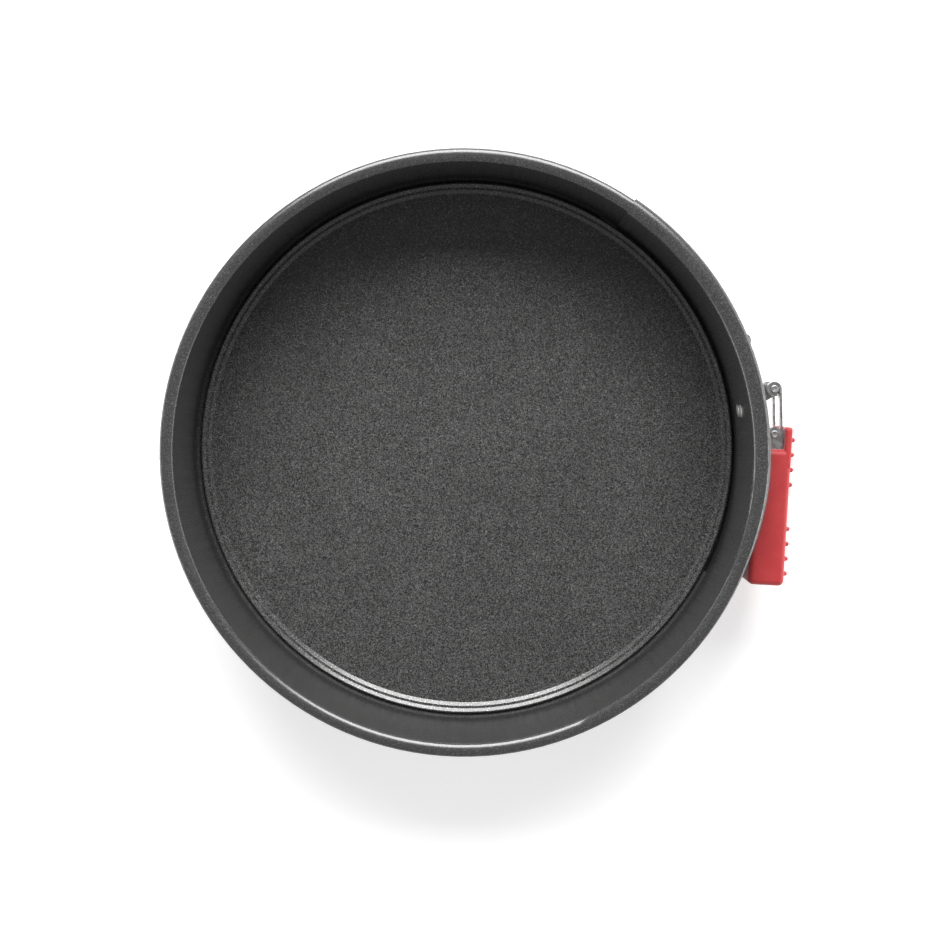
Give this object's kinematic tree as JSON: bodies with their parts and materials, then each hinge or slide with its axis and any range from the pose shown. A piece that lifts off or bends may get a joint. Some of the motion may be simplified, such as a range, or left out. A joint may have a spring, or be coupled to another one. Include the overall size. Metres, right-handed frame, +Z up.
{
  "type": "springform pan",
  "caption": "Round springform cake pan: steel side band with a lapped seam and rolled rim, loose stepped base, and a draw latch with a soft grip.",
  "frame": {"origin": "the pan's own axis, at the level of the surface that it stands on", "axes": "+Z up along the pan's axis; +X through the latch; +Y follows the link towards the catch"},
  "size_m": [0.2653, 0.2512, 0.0689],
  "materials": {
    "steel_coating": "dark grey speckled non-stick coating, semi-gloss",
    "bright_steel": "bright plated steel",
    "rivet_steel": "plated steel rivet",
    "pin_steel": "cut steel pin",
    "red_silicone": "matte translucent red silicone"
  },
  "bodies": {
    "pan_side": {"side_band": "steel_coating", "lever_bracket": "bright_steel", "lever_bracket_rivets": "rivet_steel", "catch_bracket": "bright_steel", "catch_bracket_rivets": "rivet_steel", "fulcrum_pins": "pin_steel", "catch_pin": "pin_steel"},
    "pan_base": {"base_plate": "steel_coating"},
    "latch_lever": {"lever": "bright_steel", "lever_sleeve": "red_silicone", "link_pin": "pin_steel"},
    "latch_link": {"draw_link": "bright_steel"}
  },
  "joints": [
    {"name": "base_lift", "type": "slide", "parent": "pan_side", "child": "pan_base", "axis": [0, 0, 1], "range_m": [0, 0.09]},
    {"name": "lever_swing", "type": "hinge", "parent": "pan_side", "child": "latch_lever", "pos_m": [0.13075, 0.02705, 0.035], "axis": [0, 0, 1], "range_deg": [0, 110]},
    {"name": "link_swing", "type": "hinge", "parent": "latch_lever", "child": "latch_link", "pos_m": [0.1309, 0.008, 0.035], "axis": [0, 0, 1], "range_deg": [-118, 0]}
  ],
  "couplings": [
    {"joint": "link_swing", "follows": "lever_swing", "ratio": -1.05}
  ]
}
